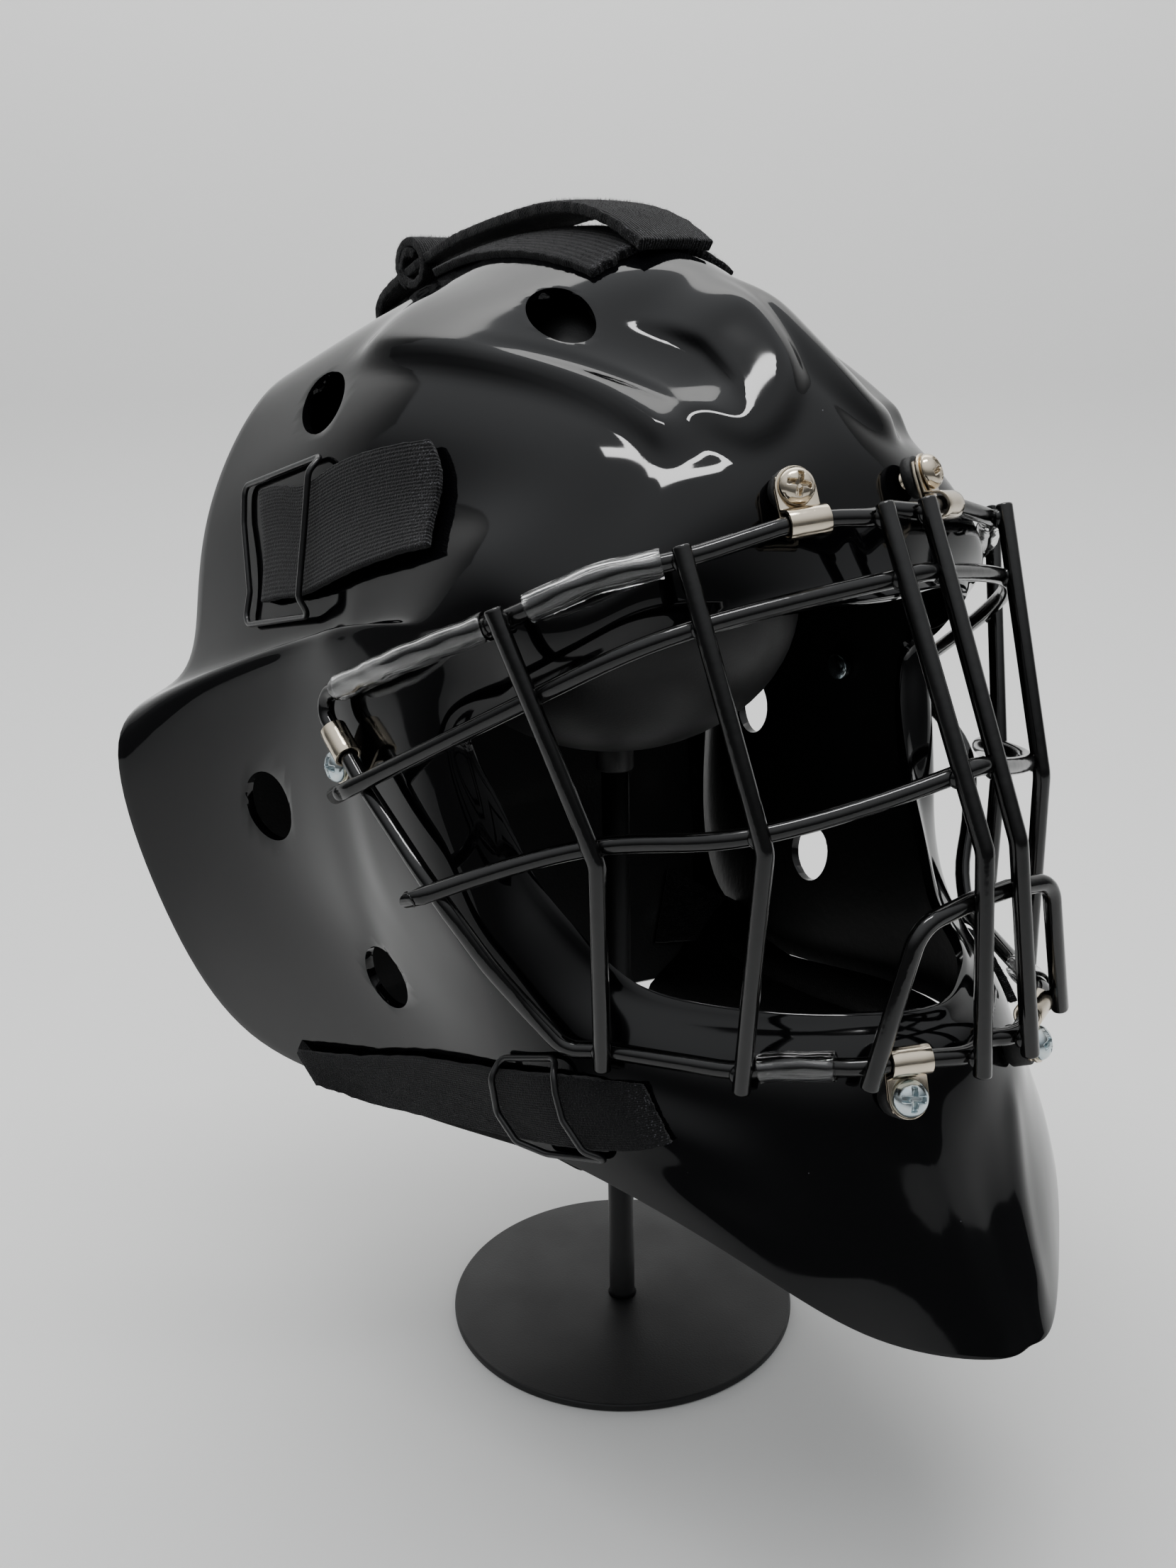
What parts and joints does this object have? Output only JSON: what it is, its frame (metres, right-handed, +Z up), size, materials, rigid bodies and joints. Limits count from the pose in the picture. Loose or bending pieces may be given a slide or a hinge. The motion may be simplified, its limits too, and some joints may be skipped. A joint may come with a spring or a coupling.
{
  "type": "hockey goalkeeper mask on a display stand",
  "caption": "Glossy black goalkeeper's mask with a wire cage, vent holes and webbing straps, on a round-footed post stand with a domed top.",
  "frame": {"origin": "centre of the disc's underside, on the floor", "axes": "+Z up, the mask faces -Y, +X is the wearer's left"},
  "size_m": [0.2544, 0.2947, 0.3732],
  "materials": {
    "shell": "high gloss black",
    "cage": "black enamel",
    "clip": "nickel plate",
    "screw": "zinc plate",
    "sleeve": "clear vinyl",
    "spacer": "matt",
    "webbing": "napped webbing",
    "frame": "moulded",
    "plate": "satin",
    "stand": "satin black"
  },
  "bodies": {
    "root": {"back_plate": "plate", "cage": "cage", "left_bottom_clip": "clip", "left_bottom_screw": "screw", "left_bottom_spacer": "spacer", "left_brow_sleeve": "sleeve", "left_chin_sleeve": "sleeve", "left_jaw_frame": "frame", "left_jaw_strap": "webbing", "left_side_clip": "clip", "left_side_frame": "frame", "left_side_screw": "screw", "left_side_strap": "webbing", "left_temple_sleeve": "sleeve", "left_top_clip": "clip", "left_top_screw": "screw", "left_top_spacer": "spacer", "right_bottom_clip": "clip", "right_bottom_screw": "screw", "right_bottom_spacer": "spacer", "right_brow_sleeve": "sleeve", "right_chin_sleeve": "sleeve", "right_jaw_frame": "frame", "right_jaw_strap": "webbing", "right_side_clip": "clip", "right_side_frame": "frame", "right_side_screw": "screw", "right_side_strap": "webbing", "right_temple_sleeve": "sleeve", "right_top_clip": "clip", "right_top_screw": "screw", "right_top_spacer": "spacer", "shell": "shell", "stand_disc": "stand", "stand_dome": "stand", "stand_post": "stand", "top_strap": "webbing"}
  },
  "joints": []
}
